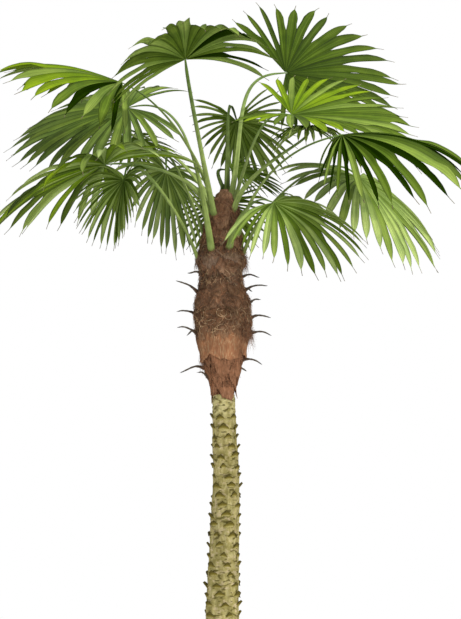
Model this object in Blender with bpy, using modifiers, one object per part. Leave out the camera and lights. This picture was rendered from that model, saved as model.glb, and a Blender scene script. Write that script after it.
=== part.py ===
"""Fan palm: a whole tree rooted in level ground, about five metres tall.

A slender trunk set with old leaf-base stubs carries a matted fibre sheath, and sixteen palmate
fronds stand on it. Each frond is a petiole and a blade: the blade's leaflets are joined round the
hub and part further out, then bend down under their own weight.

Metres, +Z up. The origin is the centre of the flat cut under the trunk, at ground level.
"""

import math
import random

import bmesh
import bpy
from mathutils import Vector

# ---------------------------------------------------------------- driving dimensions
GAP = 0.0003                  # clearance where two pieces meet
TRUNK_TOP = 2.500             # where the bare trunk enters the fibre sheath
CROWN_TOP = 3.850             # tip of the crown's heart
TRUNK_RADIUS = 0.126          # above the root flare
TRUNK_TOP_RADIUS = 0.070
FLARE_RADIUS = 0.045          # added at ground level
FLARE_HEIGHT = 0.16

STUBS_ROUND = 5               # leaf-base stubs in a turn
STUB_PITCH = 0.063            # height from one row of stubs to the next
STUB_DEPTH = 0.020            # how far a stub's tip stands out
TRUNK_SIDES = 15

SHEATH_SIDES = 18
SHEATH_ROWS = 24
ROUND_HOOKS = 16              # shorter stiff leaf-base ends, all round the fibre
HOOK_RADIUS = 0.006

LEAFLETS = 24                 # in a full blade
BLADE_THICKNESS = 0.008
HUB_RADIUS = 0.030            # open middle of a blade, where the petiole's end sits
PLEAT = 0.006
PETIOLE_BASE = 0.021          # radius at the sheath
PETIOLE_MIDDLE = 0.012
PETIOLE_END = 0.008

# Centre of the stem at a few heights: it leans and sways a little.
STEM_LINE = ((0.0, 0.0, 0.0), (0.55, -0.004, 0.004), (1.12, 0.003, 0.008), (1.60, 0.016, 0.010),
             (1.96, 0.028, 0.008), (2.31, 0.014, 0.004), (2.89, 0.003, 0.0), (3.45, -0.008, 0.0),
             (3.85, 0.014, 0.0))

# Radius of the fibre sheath at a few heights.
SHEATH_LINE = ((2.500, 0.074), (2.57, 0.095), (2.66, 0.122), (2.77, 0.150), (2.88, 0.175),
               (3.02, 0.188), (3.12, 0.176), (3.19, 0.146), (3.30, 0.135), (3.38, 0.160),
               (3.46, 0.140), (3.60, 0.120), (3.74, 0.099), (3.82, 0.066), (3.85, 0.030))

# The long hooks at the sheath's sides: azimuth, height, length and how much they rise or fall.
SIDE_HOOKS = ((184, 3.150, 0.125, 0.70), (196, 3.276, 0.080, 0.15), (176, 3.016, 0.110, 0.25),
              (188, 2.880, 0.120, 0.45), (172, 2.670, 0.150, -0.15), (190, 2.600, 0.060, 0.80),
              (-6, 3.256, 0.105, 0.12), (5, 3.165, 0.140, 0.35), (-12, 3.080, 0.065, 0.60),
              (8, 2.996, 0.120, 0.10), (-5, 2.886, 0.130, 0.0), (4, 2.724, 0.110, -0.20))

# name: hub of the blade; its aim as azimuth, elevation and roll in degrees; length of the middle
# leaflets; droop; fold of the two halves in degrees; half spread in degrees; where the petiole
# leaves the sheath, as azimuth and height
FRONDS = {
    "01": ((0.45, 0.85, 4.88), (14, 8, 56), 0.85, 0.30, 10, 114, (55, 3.80)),
    "02": ((0.46, 0.05, 4.37), (-10, -8, 28), 0.83, 0.22, 15, 125, (15, 3.80)),
    "03": ((0.56, -0.10, 4.24), (-95, 10, 0), 0.38, 1.4, 10, 120, (-40, 3.72)),
    "04": ((0.74, -0.75, 4.04), (-14, 10, 30), 0.94, 1.35, -5, 126, (-30, 3.55)),
    "05": ((0.94, 0.54, 4.05), (-44, -42, 0), 0.84, 0.9, 5, 132, (0, 3.43)),
    "06": ((0.33, -0.38, 3.69), (-26, -22, 26), 0.72, 1.2, 10, 112, (-65, 3.46)),
    "07": ((0.00, 0.85, 3.92), (90, -65, 0), 0.42, 0.6, 10, 140, (90, 3.58)),
    "08": ((0.10, 0.66, 4.48), (60, -55, 0), 0.50, 0.6, 20, 138, (80, 3.70)),
    "09": ((0.06, 0.35, 4.06), (25, 0, 40), 0.42, 0.5, 10, 90, (55, 3.60)),
    "10": ((-0.65, 0.85, 4.39), (60, -20, 10), 0.45, 0.5, 10, 140, (125, 3.70)),
    "11": ((-0.23, -0.56, 4.57), (266, 27, 18), 0.72, 1.0, 0, 96, (235, 3.68)),
    "12": ((-0.65, -0.20, 4.52), (198, 22, -25), 0.86, 0.80, -5, 96, (205, 3.78)),
    "13": ((-0.66, 0.52, 4.54), (178, -10, -34), 0.90, 0.5, 5, 134, (245, 3.44)),
    "14": ((-0.75, -0.32, 3.95), (208, -10, 10), 0.90, 0.9, 10, 142, (205, 3.70)),
    "15": ((-0.62, -0.44, 3.82), (220, -75, -5), 0.46, 1.2, 25, 140, (190, 3.40)),
    "16": ((-0.39, 0.60, 4.11), (90, -45, 40), 0.61, 1.1, 10, 140, (165, 3.57)),
}
# How much shorter the outermost leaflets are than the middle ones: most fans, and one hanging fan.
EDGE_LOSS = 0.28
SHORT_SIDED = {FRONDS["04"]: 0.62}


# ---------------------------------------------------------------- helpers
def eased(line, z):
    """The values of a short line of stations at height z, joined by smooth curves."""
    if z <= line[0][0]:
        return line[0][1:]
    for (z0, *low), (z1, *high) in zip(line, line[1:]):
        if z <= z1:
            t = (z - z0) / (z1 - z0)
            t = t * t * (3 - 2 * t) * 0.5 + t * 0.5
            return [a + (b - a) * t for a, b in zip(low, high)]
    return line[-1][1:]


def stem_centre(z):
    x, y = eased(STEM_LINE, z)
    return Vector((x, y, z))


def round_point(z, angle, radius):
    return stem_centre(z) + Vector((math.cos(angle), math.sin(angle), 0)) * radius


def material(name, colour, roughness):
    made = bpy.data.materials.new(name)
    made.use_nodes = True
    shader = made.node_tree.nodes["Principled BSDF"]
    shader.inputs["Base Color"].default_value = (*colour, 1)
    shader.inputs["Roughness"].default_value = roughness
    shader.inputs["Metallic"].default_value = 0
    return made


def add_object(name, bm, look, collection):
    mesh = bpy.data.meshes.new(name)
    bm.to_mesh(mesh)
    bm.free()
    made = bpy.data.objects.new(name, mesh)
    collection.objects.link(made)
    mesh.materials.append(look)
    return made


def wrapped_grid(columns, rows, place):
    """A grid rolled into a closed tube: place(column, row) gives each point, flat ends close it."""
    bm = bmesh.new()
    bmesh.ops.create_grid(bm, x_segments=columns, y_segments=rows, size=1)
    for vert in bm.verts:
        column = round((vert.co.x + 1) / 2 * columns)
        row = round((vert.co.y + 1) / 2 * rows)
        vert.co = place(column % columns, row)
    bmesh.ops.remove_doubles(bm, verts=bm.verts, dist=1e-5)
    bmesh.ops.holes_fill(bm, edges=[e for e in bm.edges if e.is_boundary], sides=0)
    bmesh.ops.recalc_face_normals(bm, faces=bm.faces)
    return bm


def tube_mesh(points, radii, sides_level):
    """A tapered tube through the points, from a curve with filled caps, as a bmesh."""
    curve = bpy.data.curves.new("tube", "CURVE")
    curve.dimensions = "3D"
    curve.bevel_depth = 1.0
    curve.bevel_resolution = sides_level
    curve.use_fill_caps = True
    spline = curve.splines.new("POLY")
    spline.points.add(len(points) - 1)
    for point, co, radius in zip(spline.points, points, radii):
        point.co = (*co, 1)
        point.radius = radius
    holder = bpy.data.objects.new("tube", curve)
    bpy.context.scene.collection.objects.link(holder)
    bpy.context.view_layer.update()
    mesh = bpy.data.meshes.new_from_object(holder.evaluated_get(bpy.context.evaluated_depsgraph_get()))
    bm = bmesh.new()
    bm.from_mesh(mesh)
    bmesh.ops.remove_doubles(bm, verts=bm.verts, dist=1e-5)
    bmesh.ops.recalc_face_normals(bm, faces=bm.faces)
    bpy.data.objects.remove(holder)
    bpy.data.curves.remove(curve)
    bpy.data.meshes.remove(mesh)
    return bm


def apply_boolean(target, operation, helper):
    """Joins or cuts the target with the helper for good, then drops the helper."""
    cut = target.modifiers.new("cut", "BOOLEAN")
    cut.operation = operation
    cut.solver = "EXACT"
    cut.object = helper
    bpy.context.view_layer.update()
    mesh = bpy.data.meshes.new_from_object(target.evaluated_get(bpy.context.evaluated_depsgraph_get()))
    target.modifiers.remove(cut)
    old, target.data = target.data, mesh
    mesh.name = target.name
    bpy.data.meshes.remove(old)
    bpy.data.objects.remove(helper)


# ---------------------------------------------------------------- trunk
def trunk_radius(z):
    taper = TRUNK_RADIUS + (TRUNK_TOP_RADIUS - TRUNK_RADIUS) * (z / TRUNK_TOP) ** 1.15
    return taper + FLARE_RADIUS * math.exp(-(z / FLARE_HEIGHT) ** 1.4)


def stub_stand_out(column, row):
    """Stubs point up: each swells from flush to its tip, and the next row is a step round."""
    step, level = divmod(row, 2)
    across = (column - step * 2) % (TRUNK_SIDES // STUBS_ROUND)
    return STUB_DEPTH * level * (1.0 if across == 0 else 0.22)


def build_trunk(collection):
    steps = round(TRUNK_TOP / STUB_PITCH)
    rows = 2 * steps

    def place(column, row):
        step, level = divmod(row, 2)
        z = (TRUNK_TOP - GAP) * (step + 0.80 * level) / steps
        out = trunk_radius(z)
        if 4 < row < rows - 2:
            out += stub_stand_out(column, row) * min(1.0, 0.35 + z)
        return round_point(z, 2 * math.pi * column / TRUNK_SIDES + 0.13 * step, out)

    bm = wrapped_grid(TRUNK_SIDES, rows, place)
    look = material("bark", (0.30, 0.27, 0.10), 0.85)
    return add_object("trunk", bm, look, collection)


# ---------------------------------------------------------------- fibre sheath
def sheath_radius(z, angle):
    radius, = eased(SHEATH_LINE, z)
    body = min(1.0, (z - TRUNK_TOP) / 0.08) * min(1.0, (CROWN_TOP - z) / 0.10)
    ruffle = math.sin(5 * angle + 9 * z) * 0.030 + math.sin(8 * angle - 21 * z) * 0.020
    return radius * (1 + ruffle * max(0.0, body))


def sheath_solid(grow):
    """The sheath's body, grown evenly to make the cutter for the petioles' feet."""
    def place(column, row):
        z = TRUNK_TOP + (CROWN_TOP - TRUNK_TOP) * row / SHEATH_ROWS
        angle = 2 * math.pi * column / SHEATH_SIDES
        high = z + grow * (row / SHEATH_ROWS * 2 - 1)
        return round_point(z, angle, sheath_radius(z, angle) + grow) + Vector((0, 0, high - z))

    bm = wrapped_grid(SHEATH_SIDES, SHEATH_ROWS, place)
    bmesh.ops.triangulate(bm, faces=bm.faces, quad_method="FIXED")
    return bm


def hook_rows():
    """The long hooks that stand out at the sides, then shorter ones all round in a spiral."""
    rows = list(SIDE_HOOKS)
    pick = random.Random(700)
    for index in range(ROUND_HOOKS):
        turn = (42 + 137.5 * index) % 360
        if min(abs(turn - side) for side in (0, 180, 360)) > 24:
            height = 2.68 + 0.60 * index / (ROUND_HOOKS - 1)
            rows.append((turn, height, pick.uniform(0.07, 0.11), pick.uniform(-0.3, 0.4)))
    return rows


def hook_path(turn, height, length, rise):
    """A stiff old leaf-base end: rooted in the fibre, it leaves sideways and bends up or down."""
    angle = math.radians(turn)
    root = round_point(height, angle, sheath_radius(height, angle) - 0.022)
    out = Vector((math.cos(angle), math.sin(angle), 0))
    return [root + out * (0.022 + length) * t + Vector((0, 0, rise * length * t ** 1.5))
            for t in (0, 0.3, 0.65, 1.0)]


def build_sheath(collection):
    look = material("fibre", (0.10, 0.045, 0.022), 0.95)
    sheath = add_object("fibre_sheath", sheath_solid(0), look, collection)
    hooks = bmesh.new()
    for turn, height, length, rise in hook_rows():
        taper = [HOOK_RADIUS * share for share in (1.3, 1.0, 0.75, 0.45)]
        tube = tube_mesh(hook_path(turn, height, length, rise), taper, 0)
        spare = bpy.data.meshes.new("hook")
        tube.to_mesh(spare)
        tube.free()
        hooks.from_mesh(spare)
        bpy.data.meshes.remove(spare)
    helper = add_object("hooks", hooks, look, collection)
    apply_boolean(sheath, "UNION", helper)
    return sheath


# ---------------------------------------------------------------- fronds
def frond_axes(aim):
    """The blade's axis, its left side and its upper face, from azimuth, elevation and roll."""
    azimuth, elevation, roll = (math.radians(a) for a in aim)
    axis = Vector((math.cos(elevation) * math.cos(azimuth),
                   math.cos(elevation) * math.sin(azimuth), math.sin(elevation)))
    left = Vector((0, 0, 1)).cross(axis).normalized()
    upper = axis.cross(left)
    return (axis, left * math.cos(roll) + upper * math.sin(roll),
            upper * math.cos(roll) - left * math.sin(roll))


def bent_line(frond, angle, length, droop, shares):
    """Points and side vectors along one ray of the blade, which gravity bends down."""
    hub, aim, _, _, fold, _, _ = frond
    axis, left, upper = frond_axes(aim)
    turn, lift = math.radians(angle), math.radians(fold)
    start = (axis * math.cos(turn) + left * math.sin(turn) * math.cos(lift)
             + upper * abs(math.sin(turn)) * math.sin(lift)).normalized()
    face = (upper - start * upper.dot(start)).normalized()
    steps = 24
    point, ahead = Vector(hub), start.copy()
    line = [(point.copy(), ahead.cross(face), face.copy())]
    for step in range(steps):
        share = (step + 0.5) / steps
        turned = (start - Vector((0, 0, droop * (0.15 + 0.85 * share ** 1.5)))).normalized()
        face.rotate(ahead.rotation_difference(turned))
        ahead = turned
        point = point + ahead * (length / steps)
        line.append((point.copy(), ahead.cross(face), face.copy()))
    found = []
    for share in shares:
        at = share * steps
        low = min(int(at), steps - 1)
        found.append([a.lerp(b, at - low) for a, b in zip(line[low], line[low + 1])])
    return found


def reach(frond, angle):
    """Leaflets are longest on the blade's axis and shorter to its sides."""
    return frond[2] * (1 - SHORT_SIDED.get(frond, EDGE_LOSS) * (abs(angle) / frond[5]) ** 1.3)


def split_share(frond, angle):
    """How far out the leaflets stay joined, as a share of their length."""
    return 0.30 + 0.28 * max(0.0, math.cos(abs(angle) / frond[5] * math.pi / 2 * 1.15)) ** 1.5


def leaflets_of(frond):
    return round(LEAFLETS * frond[5] / 145)


def build_blade(name, frond, look, collection):
    count, spread, droop = leaflets_of(frond), frond[5], frond[3]
    step = 2 * spread / count
    pick = random.Random(int(name) * 11)
    lengths = [pick.uniform(0.95, 1.05) for _ in range(count)]
    droops = [pick.uniform(0.85, 1.15) for _ in range(count)]
    bm = bmesh.new()
    bmesh.ops.create_grid(bm, x_segments=count, y_segments=4, size=1)

    def cell(vert):
        return round((vert.co.x + 1) / 2 * count), round((vert.co.y + 1) / 2 * 4)

    slits = [e for e in bm.edges if cell(e.verts[0])[0] == cell(e.verts[1])[0] not in (0, count)
             and min(cell(e.verts[0])[1], cell(e.verts[1])[1]) >= 2]
    bmesh.ops.split_edges(bm, edges=slits)
    places = {}
    for vert in bm.verts:
        column, row = cell(vert)
        if row <= 2:
            angle = -spread + column * step
            length = reach(frond, angle)
            split = split_share(frond, angle)
            share = (HUB_RADIUS / length, split * 0.55, split)[row]
            (point, _, face), = bent_line(frond, angle, length, droop, [share])
            places[vert] = point + face * PLEAT * (0, 1, 1)[row] * (-1) ** column
        else:
            middle = sum(v.co.x for v in vert.link_faces[0].verts) / 4
            leaflet = int((middle + 1) / 2 * count)
            angle = -spread + (leaflet + 0.5) * step
            length = reach(frond, angle) * lengths[leaflet]
            split = split_share(frond, angle)
            share = (split + (1 - split) * 0.42, 1.0)[row - 3]
            (point, side, _), = bent_line(frond, angle, length, droop * droops[leaflet], [share])
            near, far = (bent_line(frond, angle + turn, length, droop, [share])[0][0]
                         for turn in (-step / 2, step / 2))
            joined = 2 * length * split * math.sin(math.radians(step / 2))
            width = (min(1.12 * joined, 0.80 * (near - far).length), 0.008)[row - 3]
            places[vert] = point + side * (width / 2) * (1 if column == leaflet else -1)
    for vert, place in places.items():
        vert.co = place
    blade = add_object("blade_" + name, bm, look, collection)
    skin = blade.modifiers.new("thickness", "SOLIDIFY")
    skin.thickness = BLADE_THICKNESS
    skin.offset = 0
    return blade


def petiole_path(frond, points):
    """From inside the sheath up and outwards, then over to the hub along the blade's axis."""
    hub, aim, _, _, _, _, (azimuth, height) = frond
    turn = math.radians(azimuth)
    axis = frond_axes(aim)[0]
    out = Vector((math.cos(turn), math.sin(turn), 0))
    foot = round_point(height, turn, sheath_radius(height, turn))
    start = foot - out * 0.030 - Vector((0, 0, 0.030))
    end = Vector(hub) - axis * 0.06
    span = (end - foot).length
    rise = (Vector((0, 0, 1)) + out * 0.35).normalized()
    handle_a, handle_b = foot + rise * span * 0.40, end - axis * span * 0.25
    path = [start]
    for index in range(points):
        t = index / (points - 1)
        path.append(foot * (1 - t) ** 3 + handle_a * 3 * t * (1 - t) ** 2
                    + handle_b * 3 * t * t * (1 - t) + end * t ** 3)
    path.append(Vector(hub) + axis * (math.sqrt(HUB_RADIUS ** 2 - PETIOLE_END ** 2) - 2 * GAP))
    return path


def build_petiole(name, frond, look, collection):
    path = petiole_path(frond, 8)
    radii = []
    for index in range(len(path)):
        t = index / (len(path) - 1)
        if t < 0.35:
            radii.append(PETIOLE_BASE + (PETIOLE_MIDDLE - PETIOLE_BASE) * (t / 0.35) ** 0.7)
        else:
            radii.append(PETIOLE_MIDDLE + (PETIOLE_END - PETIOLE_MIDDLE) * (t - 0.35) / 0.65)
    petiole = add_object("petiole_" + name, tube_mesh(path, radii, 1), look, collection)
    cutter = add_object("foot_cut", sheath_solid(GAP * 1.3), look, collection)
    apply_boolean(petiole, "DIFFERENCE", cutter)
    return petiole


# ---------------------------------------------------------------- the palm
def main():
    for old in list(bpy.data.objects):
        bpy.data.objects.remove(old)
    palm = bpy.data.collections.new("fan_palm")
    bpy.context.scene.collection.children.link(palm)
    build_trunk(palm)
    build_sheath(palm)
    for name, frond in FRONDS.items():
        stalk = material("petiole_" + name, (0.24, 0.33, 0.10), 0.55)
        leaf = material("blade_" + name, (0.10, 0.21, 0.04), 0.5)
        build_petiole(name, frond, stalk, palm)
        build_blade(name, frond, leaf, palm)


main()
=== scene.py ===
import math
import random
import bmesh
import bpy
import numpy as np
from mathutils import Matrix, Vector, noise


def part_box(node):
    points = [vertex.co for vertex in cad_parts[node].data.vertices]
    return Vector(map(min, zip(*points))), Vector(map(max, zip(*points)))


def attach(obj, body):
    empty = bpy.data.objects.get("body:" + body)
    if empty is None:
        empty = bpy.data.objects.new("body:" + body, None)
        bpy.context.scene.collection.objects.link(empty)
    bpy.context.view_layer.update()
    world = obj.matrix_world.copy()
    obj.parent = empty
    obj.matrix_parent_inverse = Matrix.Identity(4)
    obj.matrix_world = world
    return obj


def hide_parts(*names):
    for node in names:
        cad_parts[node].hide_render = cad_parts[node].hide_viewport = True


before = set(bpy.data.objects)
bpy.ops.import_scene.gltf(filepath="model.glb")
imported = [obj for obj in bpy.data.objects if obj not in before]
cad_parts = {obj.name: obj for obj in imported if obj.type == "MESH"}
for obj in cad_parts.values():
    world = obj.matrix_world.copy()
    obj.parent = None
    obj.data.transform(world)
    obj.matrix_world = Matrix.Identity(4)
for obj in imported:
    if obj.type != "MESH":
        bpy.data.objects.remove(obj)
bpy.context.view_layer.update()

# ------------------------------------------------------------------ 1. bark of the trunk
# The bare trunk of the palm: a slender living stem that leans and sways a little, flares at the
# ground and is skinned in the pale, pressed remains of old leaf bases. Each base leaves a low
# ledge that peaks under its stub, and fine grain runs up the stem between the ledges.
TRUNK_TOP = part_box("trunk")[1].z
STEM_LINE = ((0.0, 0.0, 0.0), (0.55, -0.004, 0.004), (1.12, 0.003, 0.008), (1.60, 0.016, 0.010),
             (1.96, 0.028, 0.008), (2.31, 0.014, 0.004), (2.89, 0.003, 0.0), (3.45, -0.008, 0.0),
             (3.85, 0.014, 0.0))
FOOT_RADIUS, NECK_RADIUS = 0.126, 0.070
FLARE_RADIUS, FLARE_HEIGHT = 0.045, 0.16
STUBS_ROUND, STUB_PITCH, ROW_TWIST = 5, TRUNK_TOP / 40, 0.13
STUB_LEVEL, LEDGE_FALL = 0.80, 0.42          # shares of a pitch: stubs' height, ledges' drop beside
LEDGE_DEPTH, GRAIN_DEPTH, LUMP_DEPTH = 0.0035, 0.0012, 0.0030
CREASE_WIDTH = 0.0045
SCAR_HALF_WIDTH, SCAR_HALF_HEIGHT, SCAR_DROP, SCAR_DEPTH = 0.030, 0.0095, 0.010, 0.0015
COLLAR_HEIGHT = 0.16                         # the paler, lumpier bark that the sheath kept covered
OLD_STRAW, DAMP_OLIVE = (0.430, 0.365, 0.150), (0.190, 0.155, 0.045)
PALE_STRAW, LICHEN, SCAR_BROWN = (0.62, 0.55, 0.26), (0.58, 0.47, 0.29), (0.105, 0.086, 0.020)


def eased(line, z):
    """The values of a short line of stations at the heights z, joined by smooth curves."""
    stations = np.array(line, float)
    z = np.clip(z, stations[0, 0], stations[-1, 0])
    low = np.clip(np.searchsorted(stations[:, 0], z) - 1, 0, len(stations) - 2)
    a, b = stations[low], stations[low + 1]
    t = (z - a[..., 0]) / (b[..., 0] - a[..., 0])
    t = (t * t * (3 - 2 * t) * 0.5 + t * 0.5)[..., None]
    return a[..., 1:] + (b[..., 1:] - a[..., 1:]) * t


def round_stem(z, turn, radius):
    """Points at a height, a turn about the stem and a distance from its centre line."""
    centre = eased(STEM_LINE, z)
    return np.stack([centre[..., 0] + np.cos(turn) * radius,
                     centre[..., 1] + np.sin(turn) * radius, z + 0 * radius], -1)


def rough(points, scale):
    """Smooth noise from -1 to 1 at each point, for a pattern that is scale times finer."""
    finer = points * scale
    return np.array([noise.noise(Vector(p)) for p in finer.reshape(-1, 3)]).reshape(finer.shape[:-1])


def trunk_radius(z):
    taper = FOOT_RADIUS + (NECK_RADIUS - FOOT_RADIUS) * (np.clip(z, 0, None) / TRUNK_TOP) ** 1.15
    return taper + FLARE_RADIUS * np.exp(-(np.clip(z, 0, None) / FLARE_HEIGHT) ** 1.4)


def stub_turn(row, place):
    """Each row of stubs is a step round from the one below, so that they climb in spirals."""
    return 2 * np.pi * ((2 * row) % 3 + 3 * place) / 15 + ROW_TWIST * row


def beside_stub(row, turn):
    """How far round from that row's nearest stub, as a share of the way to the next one."""
    off = (turn - stub_turn(row, 0)) % (2 * np.pi / STUBS_ROUND) * STUBS_ROUND / (2 * np.pi)
    return np.minimum(off, 1 - off)


def ledge_line(row, turn):
    """Height of the ledge that row of old leaf bases leaves: it peaks under each stub."""
    return (row + STUB_LEVEL - LEDGE_FALL * beside_stub(row, turn)) * STUB_PITCH


def grid(columns, rows):
    """A flat grid from -1 to 1 both ways."""
    bm = bmesh.new()
    bmesh.ops.create_grid(bm, x_segments=columns, y_segments=rows, size=1)
    return bm


def wrapped_skin(name, columns, rows, place, marks=()):
    """A closed skin round a stem. place(turn, level) gives its points, then one value per mark."""
    bm = grid(columns, rows)
    flat = np.array([v.co for v in bm.verts])
    turn, level = (flat[:, 0] + 1) * np.pi, (flat[:, 1] + 1) / 2
    points, *values = place(turn, level)
    sheet = bm.loops.layers.uv.new("round")
    layers = [bm.verts.layers.float.new(mark) for mark in marks]
    for index, vert in enumerate(bm.verts):
        vert.co = points[index]
        for layer, value in zip(layers, values):
            vert[layer] = value[index]
        for loop in vert.link_loops:
            loop[sheet].uv = (turn[index] / (2 * np.pi), level[index])
    bmesh.ops.remove_doubles(bm, verts=bm.verts, dist=1e-5)
    bmesh.ops.holes_fill(bm, edges=[e for e in bm.edges if e.is_boundary], sides=0)
    bmesh.ops.recalc_face_normals(bm, faces=bm.faces)
    return finished(name, bm)


def in_scene(name, data):
    """A new object of the scene, for a mesh, a lamp or the camera."""
    thing = bpy.data.objects.new(name, data)
    bpy.context.scene.collection.objects.link(thing)
    return thing


def finished(name, bm, smooth=True):
    """Makes the bmesh a piece of the palm, with its place in its mesh."""
    mesh = bpy.data.meshes.new(name)
    bm.to_mesh(mesh)
    bm.free()
    mesh.polygons.foreach_set("use_smooth", [smooth] * len(mesh.polygons))
    return in_scene(name, mesh)


def cover(piece, *looks):
    for look in looks:
        piece.data.materials.append(look)


def plain(name, colour, roughness, specular):
    """A look of one even colour, and its node tree to work on."""
    look = bpy.data.materials.new(name)
    look.use_nodes = True
    look.diffuse_color = (*colour, 1)
    shader = look.node_tree.nodes["Principled BSDF"]
    shader.inputs["Base Color"].default_value = (*colour, 1)
    shader.inputs["Roughness"].default_value = roughness
    shader.inputs["Specular IOR Level"].default_value = specular
    return look, look.node_tree


def feed(tree, value, socket):
    """Sets a socket to a value, or links it to the output socket that gives the value."""
    if isinstance(value, bpy.types.NodeSocket):
        tree.links.new(value, socket)
    else:
        socket.default_value = value


def wired(tree, kind, **settings):
    """A new node with its settings and inputs, each by its name."""
    node = tree.nodes.new(kind)
    for key, value in settings.items():
        if hasattr(node, key):
            setattr(node, key, value)
        else:
            feed(tree, value, node.inputs[key.replace("_", " ")])
    return node


def ramp(tree, factor, stops):
    """A colour ramp over the factor, from stops of a position and a colour or a grey."""
    node = wired(tree, "ShaderNodeValToRGB", Fac=factor)
    elements = node.color_ramp.elements
    while len(elements) < len(stops):
        elements.new(0.5)
    for element, (position, colour) in zip(elements, stops):
        red, green, blue = colour if isinstance(colour, tuple) else [colour] * 3
        element.position, element.color = position, (red, green, blue, 1)
    return node.outputs["Color"]


def stretched_noise(tree, scale, detail, coordinates="Object", turn=(0, 0, 0), roughness=0.5):
    """Noise with its own scale along each axis."""
    place = tree.nodes.new("ShaderNodeTexCoord").outputs[coordinates]
    turned = wired(tree, "ShaderNodeMapping", Vector=place, Scale=scale, Rotation=turn)
    return wired(tree, "ShaderNodeTexNoise", Vector=turned.outputs["Vector"], Scale=1.0,
                 Detail=detail, Roughness=roughness).outputs["Fac"]


def mark_read(tree, name):
    """The value that a mesh carries for each vertex under this name."""
    return wired(tree, "ShaderNodeAttribute", attribute_name=name).outputs["Fac"]


def mixed(tree, factor, a, b, kind="MIX"):
    """One colour laid on another by the factor."""
    node = wired(tree, "ShaderNodeMix", data_type="RGBA", blend_type=kind)
    for place, value in ((0, factor), (6, a), (7, b)):
        feed(tree, (*value, 1) if isinstance(value, tuple) else value, node.inputs[place])
    return node.outputs[2]


def multiplied(tree, factor, a, b):
    """One colour shaded by another."""
    return mixed(tree, factor, a, b, "MULTIPLY")


def coat(look, colour, height=None, distance=0.0, strength=0.0):
    """Gives the look its colour, and fine relief if there is a height for it."""
    tree, shader = look.node_tree, look.node_tree.nodes["Principled BSDF"]
    tree.links.new(colour, shader.inputs["Base Color"])
    if height is not None:
        bump = wired(tree, "ShaderNodeBump", Height=height, Distance=distance, Strength=strength)
        tree.links.new(bump.outputs["Normal"], shader.inputs["Normal"])
    return look


def bark_points(turn, level):
    z = level * TRUNK_TOP
    radius = trunk_radius(z)
    bare = round_stem(z, turn, radius)
    wavy = z + rough(bare, 7) * 0.016 + rough(bare, 26) * 0.007
    row = np.floor(wavy / STUB_PITCH)
    found, crease, scar = (np.zeros_like(z) for _ in range(3))
    for shift in (-1, 0, 1, 2):
        below, above = ledge_line(row + shift - 1, turn), ledge_line(row + shift, turn)
        inside = (wavy > below) & (wavy <= above)
        share = (wavy - below) / np.maximum(above - below, 1e-4)
        found = np.where(inside, np.clip(share, 0, 1), found)
        near = np.minimum(abs(wavy - above), abs(wavy - below) * 1.6)
        crease = np.maximum(crease, np.where(inside, np.exp(-(near / CREASE_WIDTH) ** 2), 0))
        side = beside_stub(row + shift, turn) * 2 * np.pi / STUBS_ROUND * radius
        under = (row + shift + STUB_LEVEL) * STUB_PITCH - SCAR_DROP - 0.30 * side - z
        mark = np.exp(-(side / SCAR_HALF_WIDTH) ** 4 - (under / SCAR_HALF_HEIGHT) ** 2)
        scar = np.maximum(scar, mark)
    squeezed = bare * (1, 1, 0.16)
    lumps = rough(bare, 14) * LUMP_DEPTH + rough(bare, 34) * LUMP_DEPTH * 0.5
    collar = np.clip((z - (TRUNK_TOP - COLLAR_HEIGHT + 0.02)) / 0.05, 0, 1)
    lumps += rough(bare, 52) * LUMP_DEPTH * 1.3 * collar
    grain = rough(squeezed, 150) * GRAIN_DEPTH + rough(squeezed, 70) * GRAIN_DEPTH
    worn = 0.35 + 0.65 * np.clip(rough(bare, 9) + 0.6, 0, 1)
    fade = np.clip(z / 0.12, 0.15, 1)
    out = radius + (found ** 1.6 * LEDGE_DEPTH * worn + lumps + grain) * fade
    scar *= np.clip(0.60 + rough(bare, 30) * 1.3, 0.1, 0.9)
    out -= scar * SCAR_DEPTH * fade
    # The scar mark also carries a dark line along each ledge's crease, strongest on every third row, and
    # stretched dark flecks.
    ring = np.where((row + 1) % 3 == 0, 1.0, 0.55)
    dark = np.maximum(scar, crease * ring * np.clip(0.50 + rough(bare, 9) * 1.9, 0, 0.95))
    dark = np.maximum(dark, np.clip(rough(bare * (1, 1, 2.2), 34) * 2.2 - 0.35, 0, 0.6))
    pale = np.clip((z - (TRUNK_TOP - COLLAR_HEIGHT)) / 0.04, 0, 1)
    pale = pale * np.clip(0.5 + rough(bare, 40) * 1.6, 0, 1)
    return round_stem(z, turn, out), dark, pale


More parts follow.
